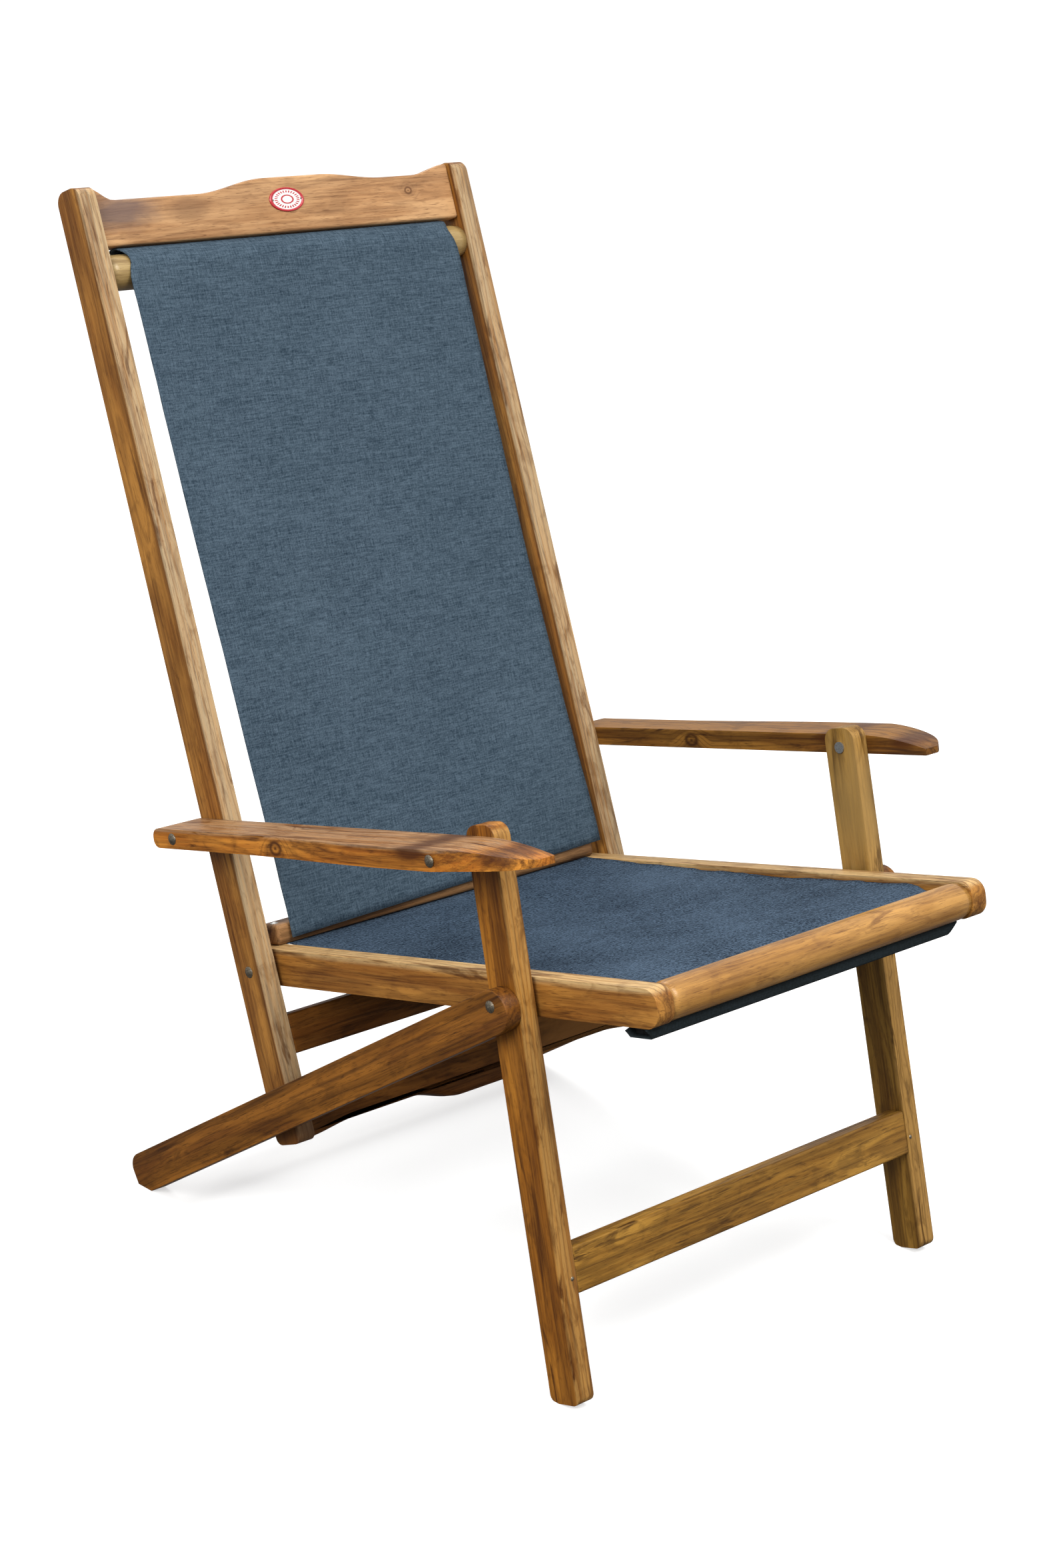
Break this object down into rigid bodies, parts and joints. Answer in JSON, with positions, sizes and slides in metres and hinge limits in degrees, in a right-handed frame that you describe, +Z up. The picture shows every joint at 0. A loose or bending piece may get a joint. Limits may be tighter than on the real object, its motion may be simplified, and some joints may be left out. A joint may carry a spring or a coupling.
{
  "type": "folding deck chair",
  "caption": "Folding wooden deck chair with high leaning back, fabric slings, flat armrests, front legs and slanted rear struts that pivot together.",
  "frame": {"origin": "on the floor under the middle of the open chair's box", "axes": "+Z up, +X across to the sitter's left, +Y from the front of the chair to its back"},
  "size_m": [0.624, 0.7938, 0.9516],
  "materials": {
    "stile_wood": "satin varnish",
    "board_wood": "satin varnish",
    "arm_wood": "satin varnish",
    "strut_wood": "satin varnish",
    "dowel_wood": "satin varnish",
    "dark_wood": "satin varnish",
    "sling_fabric": "woven canvas",
    "rivet_steel": "dull",
    "washer_steel": "dull",
    "badge_enamel": "glossy"
  },
  "bodies": {
    "back": {"back_stile_left": "stile_wood", "back_stile_right": "stile_wood", "crest_rail": "board_wood", "top_dowel": "dowel_wood", "back_cross_rail": "board_wood", "back_bottom_rail": "board_wood", "badge_plate": "badge_enamel", "badge_pins": "rivet_steel", "back_sling": "sling_fabric"},
    "seat": {"seat_rail_left": "board_wood", "seat_rail_right": "board_wood", "seat_front_bar": "board_wood", "seat_batten": "dark_wood", "batten_screws": "washer_steel", "seat_rear_bar": "board_wood", "seat_bar_screws": "washer_steel", "seat_sling": "sling_fabric", "stile_pivot_rivets": "rivet_steel", "leg_pivot_rivets": "rivet_steel", "stile_pivot_washers": "washer_steel", "leg_pivot_washers": "washer_steel"},
    "legs": {"front_leg_left": "stile_wood", "front_leg_right": "stile_wood", "front_stretcher": "board_wood", "stretcher_nails": "rivet_steel", "leg_top_washers": "washer_steel"},
    "arm_left": {"armrest_left": "arm_wood", "arm_rear_rivet_left": "rivet_steel", "arm_front_bolt_left": "rivet_steel"},
    "arm_right": {"armrest_right": "arm_wood", "arm_rear_rivet_right": "rivet_steel", "arm_front_bolt_right": "rivet_steel"},
    "struts": {"strut_left": "strut_wood", "strut_right": "strut_wood", "rear_stretcher": "strut_wood", "strut_stop_pins": "washer_steel"}
  },
  "joints": [
    {"name": "seat_fold", "type": "hinge", "parent": "back", "child": "seat", "pos_m": [0, 0.09063, 0.2642], "axis": [-1, 0, 0], "range_deg": [0, 68]},
    {"name": "legs_fold", "type": "hinge", "parent": "seat", "child": "legs", "pos_m": [0, -0.24344, 0.34626], "axis": [1, 0, 0], "range_deg": [0, 80]},
    {"name": "struts_fold", "type": "hinge", "parent": "seat", "child": "struts", "pos_m": [0, -0.24344, 0.34626], "axis": [1, 0, 0], "range_deg": [0, 13.5]},
    {"name": "arm_left_fold", "type": "hinge", "parent": "back", "child": "arm_left", "pos_m": [0, 0.14522, 0.39095], "axis": [-1, 0, 0], "range_deg": [0, 62]},
    {"name": "arm_right_fold", "type": "hinge", "parent": "back", "child": "arm_right", "pos_m": [0, 0.14522, 0.39095], "axis": [-1, 0, 0], "range_deg": [0, 62]}
  ],
  "couplings": [
    {"joint": "legs_fold", "follows": "seat_fold", "ratio": 1.176},
    {"joint": "struts_fold", "follows": "seat_fold", "ratio": 0.197},
    {"joint": "arm_left_fold", "follows": "seat_fold", "ratio": 0.91},
    {"joint": "arm_right_fold", "follows": "seat_fold", "ratio": 0.91}
  ]
}
